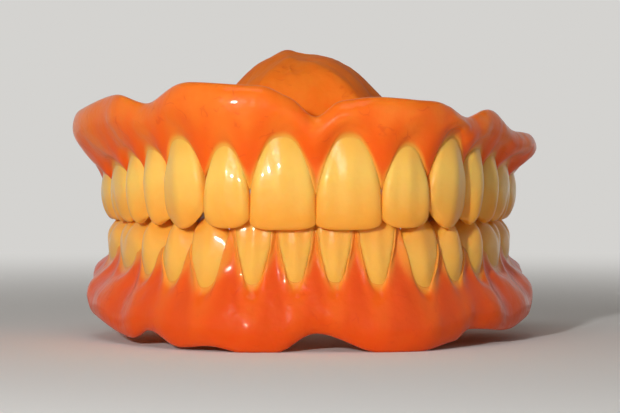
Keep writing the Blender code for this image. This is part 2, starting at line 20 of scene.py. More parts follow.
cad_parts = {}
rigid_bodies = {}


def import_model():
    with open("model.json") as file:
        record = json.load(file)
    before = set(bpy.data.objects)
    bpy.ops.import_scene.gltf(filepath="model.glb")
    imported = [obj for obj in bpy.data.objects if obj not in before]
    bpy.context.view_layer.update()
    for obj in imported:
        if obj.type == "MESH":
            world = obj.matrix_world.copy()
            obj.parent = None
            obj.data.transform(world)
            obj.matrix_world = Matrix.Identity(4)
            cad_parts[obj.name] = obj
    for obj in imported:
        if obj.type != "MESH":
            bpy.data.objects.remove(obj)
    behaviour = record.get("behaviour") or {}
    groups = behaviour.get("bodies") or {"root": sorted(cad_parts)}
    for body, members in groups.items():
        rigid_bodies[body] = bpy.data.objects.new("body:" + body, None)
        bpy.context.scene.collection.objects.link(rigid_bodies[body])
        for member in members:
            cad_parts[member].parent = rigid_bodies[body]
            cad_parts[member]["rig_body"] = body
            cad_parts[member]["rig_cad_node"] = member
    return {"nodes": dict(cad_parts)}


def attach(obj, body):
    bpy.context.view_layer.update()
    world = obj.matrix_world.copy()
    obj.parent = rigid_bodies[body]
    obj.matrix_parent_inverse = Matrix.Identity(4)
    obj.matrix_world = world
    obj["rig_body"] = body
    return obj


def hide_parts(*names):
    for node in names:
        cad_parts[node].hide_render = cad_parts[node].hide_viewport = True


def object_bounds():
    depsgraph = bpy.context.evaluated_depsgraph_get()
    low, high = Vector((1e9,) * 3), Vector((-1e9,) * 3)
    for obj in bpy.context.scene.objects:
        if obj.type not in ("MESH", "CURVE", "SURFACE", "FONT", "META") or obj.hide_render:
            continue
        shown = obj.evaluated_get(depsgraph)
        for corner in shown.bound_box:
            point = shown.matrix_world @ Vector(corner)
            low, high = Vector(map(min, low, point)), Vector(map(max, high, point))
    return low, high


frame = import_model()
measured_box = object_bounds()
MM = 0.001
print("measured pieces:", len(frame["nodes"]))

# %% [markdown]
# ## The camera
#
# The picture was taken from the front at a long focal length, almost level with the bite. So the camera stands
# 380 mm in front of the point where the midline crosses the bite plane, two degrees above it. The lens shift
# puts that point where it lies in the picture, which is 620 pixels wide and 413 high.

# %% Place the camera
BITE_POINT = Vector((0.596, -23.179, 16.6)) * MM
CAMERA_DISTANCE = 0.380
CAMERA_TURN = math.radians(-1.6)
CAMERA_RISE = math.radians(2.0)
CAMERA_LENS = 167.6
PICTURE_WIDTH = 620.0
SHIFT_RIGHT, SHIFT_UP = -6.0, 21.5


def add_camera():
    away = Vector((
        math.sin(CAMERA_TURN) * math.cos(CAMERA_RISE),
        -math.cos(CAMERA_TURN) * math.cos(CAMERA_RISE),
        math.sin(CAMERA_RISE),
    ))
    turned = away.to_track_quat("Z", "Y").to_euler()
    bpy.ops.object.camera_add(location=BITE_POINT + away * CAMERA_DISTANCE, rotation=turned)
    camera = bpy.context.active_object
    camera.name = "front_camera"
    camera.data.lens = CAMERA_LENS
    camera.data.clip_start, camera.data.clip_end = 0.01, 20.0
    camera.data.shift_x = SHIFT_RIGHT / PICTURE_WIDTH
    camera.data.shift_y = SHIFT_UP / PICTURE_WIDTH
    bpy.context.scene.camera = camera
    print("camera at", [round(value, 3) for value in camera.location])


add_camera()

# %% [markdown]
# ## Small helpers
#
# An operator acts on whatever is selected, so each step starts by selecting one object and nothing else.
# Reading and writing all of a mesh's points as one array keeps the sculpting steps short and quick.

# %% Helpers for selecting and for reading points
def select_only(piece):
    bpy.ops.object.select_all(action="DESELECT")
    piece.select_set(True)
    bpy.context.view_layer.objects.active = piece


def edit_all(piece):
    """Open a piece in edit mode with all of it selected."""
    select_only(piece)
    bpy.ops.object.mode_set(mode="EDIT")
    bpy.ops.mesh.select_all(action="SELECT")


def read_vectors(elements, name):
    vectors = np.empty(len(elements) * 3)
    elements.foreach_get(name, vectors)
    return vectors.reshape(-1, 3)


def read_points(mesh):
    return read_vectors(mesh.vertices, "co")


def read_normals(mesh):
    return read_vectors(mesh.vertex_normals, "vector")


def write_points(mesh, points):
    mesh.vertices.foreach_set("co", np.ascontiguousarray(points, dtype=np.float64).ravel())
    mesh.update()


def store(mesh, name, values):
    """Keep one number for each point of a mesh, for a material to read."""
    attribute = mesh.attributes.new(name, "FLOAT", "POINT")
    attribute.data.foreach_set("value", np.ascontiguousarray(values, dtype=np.float32))


def ramp(values, start, end):
    """0 before start, 1 after end, and a smooth step between them."""
    share = np.clip((values - start) / (end - start), 0.0, 1.0)
    return share * share * (3.0 - 2.0 * share)


# %% [markdown]
# ## The dental arch
#
# Teeth and gums both follow the dental arch, a curve that is almost straight across the front and bends back
# at the canines. Here it is a superellipse, measured by the distance s along it from the midline. The distance
# u is how far a point lies outside it. With s, u and a height, any place on a gum is three plain numbers.

# %% The arch of each jaw
JAWS = ("upper", "lower")
ARCH_SQUARENESS = 3.3
ARCH_TAPER = 1.5
ARCH_STEPS = 1500


class Arch:
    def __init__(self, half_width, depth, front):
        angle = np.linspace(0.0, math.pi / 2.0, ARCH_STEPS)
        self.x = half_width * np.sin(angle) ** (2.0 / ARCH_SQUARENESS)
        self.y = front + depth * (1.0 - np.clip(np.cos(angle), 0.0, 1.0) ** (2.0 / ARCH_TAPER))
        self.s = np.concatenate(([0.0], np.cumsum(np.hypot(np.diff(self.x), np.diff(self.y)))))
        self.slope = np.arctan2(np.gradient(self.y), np.gradient(self.x))

    def at(self, s, u):
        """Plan points at the distances s along the arch and u outside it."""
        reach = np.abs(s)
        slope = np.interp(reach, self.s, self.slope)
        x = np.interp(reach, self.s, self.x) + u * np.sin(slope)
        y = np.interp(reach, self.s, self.y) - u * np.cos(slope) + np.maximum(0.0, reach - self.s[-1])
        return np.where(s < 0.0, -x, x), y

    def along(self, x, y):
        """The distances s and u of plan points."""
        nearest = np.argmin(np.hypot(self.x[None] - np.abs(x)[:, None], self.y[None] - y[:, None]), axis=1)
        slope = self.slope[nearest]
        u = (np.abs(x) - self.x[nearest]) * np.sin(slope) - (y - self.y[nearest]) * np.cos(slope)
        return np.where(x < 0.0, -self.s[nearest], self.s[nearest]), u

    def outward(self, s, u):
        """The level direction away from the arch, at the distances s and u."""
        (far_x, far_y), (near_x, near_y) = self.at(s, u + 1.0), self.at(s, u)
        return np.stack((far_x - near_x, far_y - near_y, 0.0 * s), axis=1)


ARCHES = {"upper": Arch(half_width=31.2, depth=49.0, front=0.0), "lower": Arch(half_width=30.6, depth=46.5, front=2.5)}
print("upper arch, one side: %.1f mm" % ARCHES["upper"].s[-1])

# %% [markdown]
# ## The sizes of the teeth
#
# Each row is one tooth, from the midline back: its width and depth, and then the heights of the gum line at the
# cheek, of the gum line at the tongue, and of the gum's point behind it, the papilla. The upper left lateral
# incisor is half a millimetre wider than the right one, so that row of teeth is longer. Some necks lean away from
# the midline, and the gum line of a tooth is more or less square.

# %% Tooth sizes in millimetres
TOOTH_KINDS = ("central_incisor", "lateral_incisor", "canine", "first_premolar", "second_premolar",
               "first_molar", "second_molar")
TOOTH_SIZES = {
    "upper": np.array([
        (8.9, 6.4, 12.0, 7.2, 5.0), (6.9, 5.8, 10.8, 7.0, 6.4), (8.0, 6.8, 11.8, 7.4, 7.4),
        (7.1, 9.2, 10.3, 6.4, 7.0), (6.9, 9.2, 9.4, 6.0, 6.2),
        (9.8, 10.6, 8.0, 5.4, 5.0), (9.0, 10.2, 6.6, 5.0, 4.6),
    ]),
    "lower": np.array([
        (5.3, 5.6, 7.4, 6.2, 0.1), (5.8, 5.8, 7.7, 6.2, -0.5), (6.8, 6.6, 8.2, 6.2, 2.0),
        (7.0, 8.2, 7.6, 5.4, 3.0), (7.1, 8.4, 6.9, 5.0, 3.5),
        (10.4, 10.2, 6.3, 4.8, 3.2), (9.6, 10.0, 5.6, 4.6, 3.0),
    ]),
}
MIDLINE_PAPILLA = {"upper": 4.3, "lower": 0.0}
SCALLOP_POWERS = {"upper": (2.6, 2.1, 2.3, 2.3, 2.3, 2.7, 2.7), "lower": (3.0, 2.9, 2.7, 2.4, 2.4, 2.6, 2.6)}
SCALLOP_WIDTH = {"upper": 0.97, "lower": 0.86}
NECK_LEANS = {"upper": (0.0, 0.1, 0.4, 0.2, 0.0, 0.0, 0.0), "lower": (0.0, 0.45, 1.2, 0.5, 0.0, 0.0, 0.0)}
LATERAL_EXTRA = {("upper", 1): 0.5}
JAW_SIDE = {"upper": 1.0, "lower": -1.0}


def tooth_widths(jaw, hand):
    """The widths of the teeth on one side: hand is 1 on the wearer's left and -1 on the right."""
    widths = TOOTH_SIZES[jaw][:, 0].copy()
    widths[1] += LATERAL_EXTRA.get((jaw, hand), 0.0)
    return widths


def jaw_space(points):
    """World points in metres, seen from the bite point in millimetres."""
    return (points - np.array(BITE_POINT)) / MM


for jaw in JAWS:
    print(jaw, "row of teeth, right and left:", tooth_widths(jaw, -1).sum(), tooth_widths(jaw, 1).sum(), "mm")

# %% [markdown]
# ## The teeth
#
# A denture tooth is moulded in resin, so it has no sharp edge anywhere. The measured tooth is a coarse cage with
# the right size. A Subdivision Surface rounds a cage but also shrinks it, so the cage is first pushed out until
# the rounded surface passes through the places where its points were. Then each tooth swells by a tenth of a
# millimetre, because real neighbours touch and the measured ones keep a small gap.

# %% Round a measured tooth
TOOTH_SWELL = 0.11


def copy_as_quads(node, name):
    select_only(node)
    bpy.ops.object.duplicate()
    piece = bpy.context.active_object
    piece.name = name
    piece.data.name = name
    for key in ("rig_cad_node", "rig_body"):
        if key in piece:
            del piece[key]
    edit_all(piece)
    bpy.ops.mesh.remove_doubles(threshold=1e-6)
    bpy.ops.mesh.tris_convert_to_quads(face_threshold=math.pi, shape_threshold=math.pi, topology_influence=1.0)
    bpy.ops.object.mode_set(mode="OBJECT")
    return piece


def round_through_points(piece, levels, passes):
    """Subdivide a cage so that the smooth surface still passes through the cage's points."""
    wanted = read_points(piece.data)
    cage = wanted.copy()
    rounding = piece.modifiers.new("Rounding", "SUBSURF")
    rounding.levels = rounding.render_levels = levels
    for _ in range(passes):
        rounded = piece.evaluated_get(bpy.context.evaluated_depsgraph_get()).data
        landed = read_points(rounded)[:len(wanted)]
        cage += wanted - landed
        write_points(piece.data, cage)
    select_only(piece)
    bpy.ops.object.modifier_apply(modifier=rounding.name)
    return float(np.abs(wanted - landed).max() / MM)


# %% [markdown]
# An incisor's face has two shallow grooves that part three lobes. A canine and a premolar have a low ridge down the
# middle with a groove on each side, and a molar has one groove between its two outer cusps. All of these are less
# than 0.3 mm high or deep, but a glossy face shows them in its highlights. The arch gives each point's place on its
# tooth: p from side to side, and r from the neck to the tip.

# %% Lobes, grooves and leaning necks
LOBE_HEIGHT, LOBE_WAVES = 0.05, 0.92
RIDGES = {"canine": (0.16, 0.28, 0.05, 0.55, 0.16), "premolar": (0.14, 0.3, 0.06, 0.6, 0.2)}
GROOVE_DEPTH, GROOVE_PLACE, GROOVE_WIDTH = 0.26, 0.05, 0.13
# How much painted shade darkens the lower row of teeth.
LOWER_ROW_SHADE = 0.45


def face_relief(kind, p, r):
    """How far a tooth's face stands out, in millimetres."""
    if kind.endswith("_molar"):
        return -GROOVE_DEPTH * np.exp(-((p - GROOVE_PLACE) / GROOVE_WIDTH) ** 2) * ramp(r, 0.35, 0.85)
    body = ramp(r, 0.18, 0.45) * (1.0 - 0.75 * ramp(r, 0.9, 1.0))
    if kind.endswith("incisor"):
        return LOBE_HEIGHT * np.cos(3.0 * math.pi * p * LOBE_WAVES) * body * (1.0 - ramp(np.abs(p), 0.75, 1.0))
    ridge, ridge_width, groove, groove_place, groove_width = RIDGES[kind.split("_")[-1]]
    groove_shape = np.exp(-((np.abs(p) - groove_place) / groove_width) ** 2)
    return ridge * np.exp(-(p / ridge_width) ** 2) * body - groove * groove_shape * body


def sculpt_tooth(piece, jaw, hand, number):
    """Give the face its relief, swell the tooth and lean its neck."""
    points = read_points(piece.data)
    normals = read_normals(piece.data)
    seen = jaw_space(points)
    widths = tooth_widths(jaw, hand)
    centre = hand * (widths[:number].sum() + widths[number] / 2.0)
    p = (ARCHES[jaw].along(seen[:, 0], seen[:, 1])[0] - centre) / (widths[number] / 2.0)
    height = seen[:, 2] * JAW_SIDE[jaw]
    r = (height.max() - height) / (height.max() - height.min())
    outward = ARCHES[jaw].outward(np.array([centre]), np.zeros(1))[0]
    aside = hand * np.array([-outward[1], outward[0], 0.0])
    lean = NECK_LEANS[jaw][number] * (1.0 - ramp(r, 0.0, 0.9))
    facing = np.clip(normals @ outward, 0.0, 1.0) ** 0.5
    move = TOOTH_SWELL + face_relief(TOOTH_KINDS[number], p, r) * facing
    write_points(piece.data, points + (normals * move[:, None] + aside * lean[:, None]) * MM)
    store(piece.data, "across", p)
    store(piece.data, "neck_to_tip", r)
    # Painted shade for the lower row of teeth.
    store(piece.data, "lower_row_shade", np.full(len(p), LOWER_ROW_SHADE if jaw == "lower" else 0.0))


# %% Make the twenty-eight teeth
teeth = {jaw: [] for jaw in JAWS}
worst_miss = 0.0
for jaw in JAWS:
    for side_name, hand in (("right", -1), ("left", 1)):
        for number, kind in enumerate(TOOTH_KINDS):
            node_name = f"{jaw}_{side_name}_{kind}"
            tooth = copy_as_quads(frame["nodes"][node_name], "resin_" + node_name)
            worst_miss = max(worst_miss, round_through_points(tooth, levels=3, passes=5))
            sculpt_tooth(tooth, jaw, hand, number)
            bpy.ops.object.shade_smooth()
            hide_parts(node_name)
            teeth[jaw].append(tooth)
print("teeth:", sum(len(row) for row in teeth.values()), "furthest from a measured point: %.3f mm" % worst_miss)


# %% [markdown]
# ## The gums
#
# A technician waxes the gum of a denture by eye: a rolled edge round each tooth, a point of gum between
# neighbours, a swelling over each root, and a border that leaves room for the lip's bands. As sizes, these are a
# few runs of numbers along the arch, from the wearer's right to the left, with smooth steps between them.

# %% Gum sizes in millimetres, by place along the arch
GUM_SIZES = {
    "upper": {
        "border": ((-62, 13.0), (-50, 15.9), (-34, 18.0), (-27.5, 16.7), (-18, 19.5), (-7, 19.0), (-3.5, 17.5),
                   (0, 14.5), (3, 17.0), (8, 17.5), (16, 17.0), (24.5, 14.8), (30.5, 15.95), (41, 12.9), (52, 12.4),
                   (62, 11.0)),
        "bulge": ((-62, 1.2), (-48, 4.9), (-34, 3.0), (-26, 1.3), (-16, 1.6), (0, 0.7), (16, 1.6), (26, 1.0),
                  (33, 1.6), (48, 3.6), (62, 0.8)),
        "ridge": ((-62, 9.0), (-40, 10.6), (0, 11.4), (30, 10.6), (44, 9.4), (62, 8.8)),
    },
    "lower": {
        "border": ((-58, 8.5), (-50, 12.0), (-44, 13.5), (-29, 15.85), (-25.4, 14.5), (-19, 16.5), (-14, 16.1),
                   (-9, 17.0), (-5.5, 17.0), (0, 14.35), (9, 17.0), (13, 17.0), (20.5, 15.9), (23.5, 14.4),
                   (34, 15.1), (42, 14.0), (50, 11.8), (58, 8.5)),
        "bulge": ((-58, 1.6), (-42, 4.0), (-28, 2.8), (-22, 2.0), (-12, 2.2), (0, 1.3), (12, 2.2), (22, 1.6),
                  (30, 3.2), (42, 4.2), (58, 1.6)),
        "ridge": ((-58, 6.0), (-48, 9.0), (-30, 11.4), (0, 12.0), (30, 11.4), (48, 9.0), (58, 6.0)),
        "tongue_border": ((-58, 9.0), (-50, 14.0), (-40, 16.9), (-22, 14.8), (-6, 15.4), (0, 13.4), (6, 15.4),
                          (22, 14.8), (40, 16.9), (50, 14.0), (58, 9.0)),
        "tongue_reach": ((-58, 11.6), (-40, 12.6), (-24, 10.6), (0, 8.8), (24, 10.6), (40, 12.6), (58, 11.6)),
    },
}
VAULT_HEIGHTS = ((16.0, 21.4), (22.0, 23.2), (30.0, 24.5), (42.0, 21.4))
VAULT_LEAN = -3.2
VAULT_STEPS = (0.0, 0.2, 0.5, 0.72, 0.88, 1.0)
VAULT_RIGHT = (0.0, 0.36, 0.71, 0.865, 0.94, 1.0)
VAULT_LEFT = (0.0, 0.50, 0.88, 0.92, 0.93, 1.0)
VAULT_BLEND = 15.0
VAULT_SLICES = (0.0, 0.385, 0.897, 1.0)
VAULT_SHARES = (0.0, 0.444, 0.889, 1.0)
BORDER_ROUND = 1.2
FLANGE_THICKNESS = 2.8
PALATE_THICKNESS = 2.2
RIDGE_SHELL = 2.2


def eased(keys, places):
    """Read a run of sizes at many places, with a smooth step from each one to the next."""
    at = np.array([key[0] for key in keys], dtype=float)
    size = np.array([key[1] for key in keys], dtype=float)
    places = np.clip(places, at[0], at[-1])
    upper = np.clip(np.searchsorted(at, places), 1, len(at) - 1)
    share = (places - at[upper - 1]) / (at[upper] - at[upper - 1])
    return size[upper - 1] + (size[upper] - size[upper - 1]) * share * share * (3.0 - 2.0 * share)


def mix(low, high, share):
    return low + (high - low) * share


# %% [markdown]
# A section is one slice across the gum, as a row of points. Slices stand close together along the arch, twenty
# to a tooth. Between two teeth the gum line dips to the papilla, and over a tooth's middle it rises. Over the last
# 1.3 mm of a heel the base also gets thinner, by a quarter of a circle from its full thickness to nearly nothing,
# so that the heel ends in a round edge.

# %% Where the slices stand, and the gum line at each
SLICES_PER_TOOTH = 20
SLICES_PER_HEEL = 16
HEEL_LENGTH = 6.0
HEEL_ROUND = 1.3
THINNEST_SHARE = 0.03


def slices(jaw):
    """One value for each slice: its place s, the heights of the gum line at the cheek and at the tongue, the teeth's
    depth, 1 over a tooth to -1 beside it, its share of the full thickness, and the gum line's fall to the papilla."""
    rows = []
    for hand in (-1, 1):
        edge = 0.0
        papilla = MIDLINE_PAPILLA[jaw]
        for width, (_, _, gum, tongue_gum, own_papilla), power, lean in zip(
                tooth_widths(jaw, hand), TOOTH_SIZES[jaw], SCALLOP_POWERS[jaw], NECK_LEANS[jaw]):
            for step in range(0 if edge or hand > 0 else 1, SLICES_PER_TOOTH):
                share = step / SLICES_PER_TOOTH
                aside = 2.0 * share - 1.0 - 2.0 * lean / width
                off = abs(aside) / (1.0 - math.copysign(2.0 * lean / width, aside))
                point = papilla if aside < 0.0 else own_papilla
                fall = min(1.0, off / SCALLOP_WIDTH[jaw]) ** power
                cheek = mix(gum, point, fall)
                tongue = mix(tongue_gum, min(point, tongue_gum - 1.0), fall)
                rows.append((hand * (edge + share * width), cheek, tongue, math.cos(math.pi * off), 1.0, fall))
            edge += width
            papilla = own_papilla
        for step in range(SLICES_PER_HEEL + 1):
            turn = math.pi * max(0.0, step / SLICES_PER_HEEL - 0.5)
            share = (HEEL_LENGTH - HEEL_ROUND) / HEEL_LENGTH * min(1.0, 2.0 * step / SLICES_PER_HEEL)
            share += HEEL_ROUND / HEEL_LENGTH * math.sin(turn)
            thickness = max(math.cos(turn), THINNEST_SHARE)
            s = hand * (edge + share * HEEL_LENGTH)
            ridge = float(eased(GUM_SIZES[jaw]["ridge"], np.array([s]))[0])
            height = mix(papilla, ridge - RIDGE_SHELL, share * share)
            rows.append((s, height, height, -1.0, thickness, 1.0))
    s, cheek, tongue, middle, thickness, fall = np.array(sorted(rows)).T
    depth = np.empty(len(s))
    for hand in (-1, 1):
        widths = tooth_widths(jaw, hand)
        here = (s < 0.0) if hand < 0 else (s >= 0.0)
        depth[here] = np.interp(np.abs(s[here]), np.cumsum(widths) - widths / 2.0, TOOTH_SIZES[jaw][:, 1])
    return s, cheek, tongue, depth, middle, thickness, fall


SLICES = {jaw: slices(jaw) for jaw in JAWS}
print("slices:", [len(SLICES[jaw][0]) for jaw in JAWS])

# %% [markdown]
# The polished cheek side and the walls of the hollow that fits over the ridge are alike in both gums, so they
# share one function. The upper slice then runs on to the palate, the lower one round the tongue's flange. At a
# heel, each point has a partner on the other side of the base, and the two draw together as the heel gets thinner.

# %% The slices as points
ROOT_SWELL = 0.25
PAPILLA_DEPTH = {"upper": -0.95, "lower": -1.10}
OUT_OVER_TOOTH = (0.12, 0.36, 0.66, 0.97)
OUT_OVER_PAPILLA = {"upper": (0.10, 0.24, 0.52, 0.92), "lower": (0.05, 0.09, 0.24, 0.76)}
HOLLOW_WALL = 4.4
RIDGE_MIDDLE = 7.0
UPPER_PARTNERS = (25, 24, 23, 22, 21, 20, 19, 19, 18, 18, 18, 18, 17, 17, 16, 16, 14, 13, 11, 7, 5, 4, 3, 2, 1, 0)
LOWER_PARTNERS = (13, 13, 12, 12, 12, 12, 11, 11, 10, 10, 8, 7, 5, 1, 18, 17, 15, 15, 14, 13)


def round_the_teeth(jaw):
    """Under the teeth, up the polished cheek side, round the border and into the hollow: u and height of each point."""
    s, gum_line, tongue_line, depth, middle, _, fall = SLICES[jaw]
    border, bulge, ridge = (eased(GUM_SIZES[jaw][name], s) for name in ("border", "bulge", "ridge"))
    swell = ROOT_SWELL * middle
    inner = bulge - FLANGE_THICKNESS
    wall = mix(ridge, border, 0.12)
    edge = mix(-0.75, PAPILLA_DEPTH[jaw], fall)
    out = [mix(over, between, fall) for over, between in zip(OUT_OVER_TOOTH, OUT_OVER_PAPILLA[jaw])]
    return [
        (-depth - 0.1, tongue_line),
        (-0.5 * depth, (gum_line + tongue_line) / 2.0 - 0.5),
        (edge - 0.9, gum_line + 0.15),
        (edge, gum_line),
        (mix(edge, bulge, out[0]) + 0.5 * swell, gum_line + 0.45),
        (mix(edge, bulge, out[1]) + swell, gum_line + 1.5),
        (mix(edge, bulge, out[2]) + swell, mix(gum_line, border, 0.36)),
        (mix(edge, bulge, out[3]) + 0.3 * swell, mix(gum_line, border, 0.60)),
        (bulge - 0.4, border - BORDER_ROUND),
        (bulge - 0.5 * FLANGE_THICKNESS, border),
        (inner, border - BORDER_ROUND),
        (mix(inner, -HOLLOW_WALL, 0.5), mix(border - BORDER_ROUND, wall, 0.45)),
        (0.0 * s - HOLLOW_WALL, wall),
    ]


def in_space(jaw, s, pairs):
    return [np.stack(ARCHES[jaw].at(s, u) + (height,), axis=1) for u, height in pairs]


def thinned(rows, partners, thickness):
    """Draw each point of a slice towards the middle between it and its partner on the other side of the base."""
    return [mix((row + rows[partner]) / 2.0, row, thickness[:, None]) for row, partner in zip(rows, partners)]


def upper_slices():
    s, _, _, depth, _, thickness, _ = SLICES["upper"]
    ridge = eased(GUM_SIZES["upper"]["ridge"], s)
    number = np.abs(np.arange(len(s)) - (len(s) - 1) / 2.0)
    middle_y = mix(16.0, 42.0, np.interp(number / number.max(), VAULT_SLICES, VAULT_SHARES))
    middle_z = eased(VAULT_HEIGHTS, middle_y)
    tilt = np.arctan2(eased(VAULT_HEIGHTS, middle_y + 0.5) - eased(VAULT_HEIGHTS, middle_y - 0.5), 1.0)
    foot = in_space("upper", s, [(-depth - 2.6, ridge + 1.2)])[0]
    run = np.hypot(foot[:, 0], middle_y - foot[:, 1])
    left = eased(((-VAULT_BLEND, 0.0), (VAULT_BLEND, 1.0)), s)

    def fitting_at(f):
        rise = mix(np.interp(f, VAULT_STEPS, VAULT_RIGHT), np.interp(f, VAULT_STEPS, VAULT_LEFT), left)
        return np.stack((
            mix(foot[:, 0], 0.0, f) + VAULT_LEAN * rise,
            mix(foot[:, 1], middle_y, f),
            mix(foot[:, 2], middle_z, rise),
        ), axis=1)

    def polished_at(f):
        if f == 1.0:
            return fitting_at(f) + PALATE_THICKNESS * np.stack((0.0 * s, np.sin(tilt), -np.cos(tilt)), axis=1)
        behind = max(0.0, f - 0.1)
        slope = np.arctan2((fitting_at(f + 0.1)[:, 2] - fitting_at(behind)[:, 2]) / (f + 0.1 - behind), run)
        inward = np.minimum(PALATE_THICKNESS * np.sin(slope) / run, (1.0 - f) / 2.0)
        return fitting_at(f) + np.stack((
            -foot[:, 0] * inward, (middle_y - foot[:, 1]) * inward, -PALATE_THICKNESS * np.cos(slope)), axis=1)

    palate = [polished_at(f) for f in reversed(VAULT_STEPS)]
    round_teeth = in_space("upper", s, round_the_teeth("upper") + [(0.0 * s - RIDGE_MIDDLE, ridge)])
    return thinned(palate + round_teeth + [fitting_at(f) for f in VAULT_STEPS], UPPER_PARTNERS, thickness)


def lower_slices():
    s, _, tongue_line, depth, middle, thickness, _ = SLICES["lower"]
    ridge, border, reach = (eased(GUM_SIZES["lower"][name], s) for name in ("ridge", "tongue_border", "tongue_reach"))
    reach = np.maximum(reach, depth + 1.2)
    inner = reach - 2.4
    tongue_flange = [
        (-0.5 * (HOLLOW_WALL + inner), ridge),
        (-mix(inner, HOLLOW_WALL, 0.12), mix(ridge, border, 0.35)),
        (-inner, border - BORDER_ROUND),
        (-reach + 1.2, border),
        (-reach, border - BORDER_ROUND),
        (-reach + 0.1, mix(tongue_line, border, 0.55)),
        (-depth - 0.7 + 0.2 * middle, tongue_line + 1.5),
    ]
    return thinned(in_space("lower", s, round_the_teeth("lower") + tongue_flange), LOWER_PARTNERS, thickness)


# %% [markdown]
# A slice of twenty-odd points is too coarse to look waxed. A Catmull-Rom curve runs through the points and is
# read five times between each two. A grid primitive with as many rows and columns then takes these places: it
# is a sheet wrapped round the slices. Where its edges meet, merging by distance closes it.

# %% Wrap a grid round the slices
READS_PER_POINT = 5
POLISHED_CHEEK_POINTS = 7.5
TONGUE_FLANGE_POINT = 15


def curve_through(rows, closed):
    """Catmull-Rom curves through the rows of points, one curve for each slice."""
    rows = np.array(rows)
    if closed:
        padded = np.concatenate((rows[-1:], rows, rows[:2]))
    else:
        padded = np.concatenate((2.0 * rows[:1] - rows[1:2], rows, 2.0 * rows[-1:] - rows[-2:-1]))
    out = []
    for span in range(len(padded) - 3):
        before, start, end, after = padded[span:span + 4]
        first, middle, last = (np.sqrt(np.linalg.norm(b - a, axis=1) + 1e-9)[:, None] for a, b in
                               ((before, start), (start, end), (end, after)))
        entry = (start - before) / first ** 2 * middle ** 2
        leave = (after - end) / last ** 2 * middle ** 2
        across = end - start
        weight_in = first / (first + middle)
        weight_out = last / (middle + last)
        tangent_in = across * weight_in + entry * (1.0 - weight_in)
        tangent_out = across * weight_out + leave * (1.0 - weight_out)
        for step in range(READS_PER_POINT):
            t = step / READS_PER_POINT
            out.append((2 * t**3 - 3 * t**2 + 1) * start + (t**3 - 2 * t**2 + t) * tangent_in
                       + (3 * t**2 - 2 * t**3) * end + (t**3 - t**2) * tangent_out)
    out.append(rows[0] if closed else rows[-1])
    return np.array(out)


def wrap_grid(name, curves, jaw, first_cheek):
    """Lay a grid on the curves. Point first_cheek of a slice is the first one on the cheek side."""
    columns, count = curves.shape[:2]
    bpy.ops.object.select_all(action="DESELECT")
    bpy.ops.mesh.primitive_grid_add(x_subdivisions=columns - 1, y_subdivisions=count - 1, size=0.1)
    sheet = bpy.context.active_object
    sheet.name = name
    sheet.data.name = name
    places = curves.transpose(1, 0, 2).reshape(-1, 3)
    write_points(sheet.data, np.array(BITE_POINT) + places * (1.0, 1.0, JAW_SIDE[jaw]) * MM)
    _, gum_line, tongue_line, _, middle, _, _ = SLICES[jaw]
    column = np.tile(np.arange(columns) / READS_PER_POINT, count)
    on_cheek = (column >= first_cheek) & (column <= first_cheek + POLISHED_CHEEK_POINTS)
    on_tongue = column < first_cheek
    if jaw == "lower":
        on_tongue |= column >= first_cheek + TONGUE_FLANGE_POINT
    margin = np.where(on_cheek, np.repeat(gum_line, columns), np.repeat(tongue_line, columns))
    store(sheet.data, "above_margin", places[:, 2] - margin)
    store(sheet.data, "over_root", np.repeat(middle, columns))
    store(sheet.data, "polished", on_cheek | on_tongue)
    store(sheet.data, "cheek_side", on_cheek & (column >= first_cheek + 1))
    if jaw == "upper":
        vault = len(VAULT_STEPS) - 1
        store(sheet.data, "palate", (column <= vault) | (column >= (columns - 1) / READS_PER_POINT - vault))
    return sheet


upper_curves = curve_through(upper_slices(), closed=False)
lower_curves = curve_through(lower_slices(), closed=True)
upper_gum = wrap_grid("upper_gum", upper_curves, "upper", first_cheek=8)
lower_gum = wrap_grid("lower_gum", lower_curves, "lower", first_cheek=2)
print("gum sheets:", upper_curves.shape, lower_curves.shape)

# %% [markdown]
# The sheets are closed as by hand: the doubles are merged, the hair-thin rim that is still open at each heel is
# filled, and the faces are turned outwards.

# %% Close the gum sheets
def close_sheet(sheet):
    edit_all(sheet)
    bpy.ops.mesh.remove_doubles(threshold=1e-7)
    bpy.ops.mesh.fill_holes(sides=0)
    bpy.ops.mesh.select_all(action="SELECT")
    bpy.ops.mesh.normals_make_consistent(inside=False)
    bpy.ops.object.mode_set(mode="OBJECT")
    bpy.ops.object.shade_smooth()
    closed = bmesh.new()
    closed.from_mesh(sheet.data)
    open_edges = sum(not edge.is_manifold for edge in closed.edges)
    print(sheet.name, "points:", len(closed.verts), "open edges:", open_edges,
          "volume: %.1f cm3" % (closed.calc_volume() * 1e6))
    closed.free()


close_sheet(upper_gum)
close_sheet(lower_gum)

# %% [markdown]
# The palate's sheet fans out from the front, so it is smoothed by averaging each point with its neighbours, and so
# is the wax over the necks. Noise along the surface's own direction then leaves the marks of the making. The side
# that lies on the tissue was cast on a model of the mouth and isn't polished, so it keeps the small folds and grains
# of the palate. The polished side has faint dimples over the roots, where the wax was shaped by hand.
#
# The lowest borders of the lower gum are finished to the plane that the pair stands on, and a curve may swing out a
# little past its points, so both sheets are at last clipped to the measured box.

# %% Smooth the gums and leave the marks of the making
TISSUE_FOLDS, FOLD_SIZE = 0.24, 0.0040
TISSUE_GRAIN, GRAIN_SIZE = 0.08, 0.0011
WAX_DIMPLES, DIMPLE_SIZE = 0.09, 0.0015


def smooth_values(mesh, values, times):
    """Average a value with its neighbours along the mesh's edges, a few times over."""
    edges = np.empty(len(mesh.edges) * 2, dtype=np.int64)
    mesh.edges.foreach_get("vertices", edges)
    start, end = edges.reshape(-1, 2).T
    count = np.maximum(np.bincount(edges, minlength=len(values)), 1)
    for _ in range(times):
        total = np.bincount(start, values[end], len(values)) + np.bincount(end, values[start], len(values))
        values = 0.5 * values + 0.5 * total / count
    return values


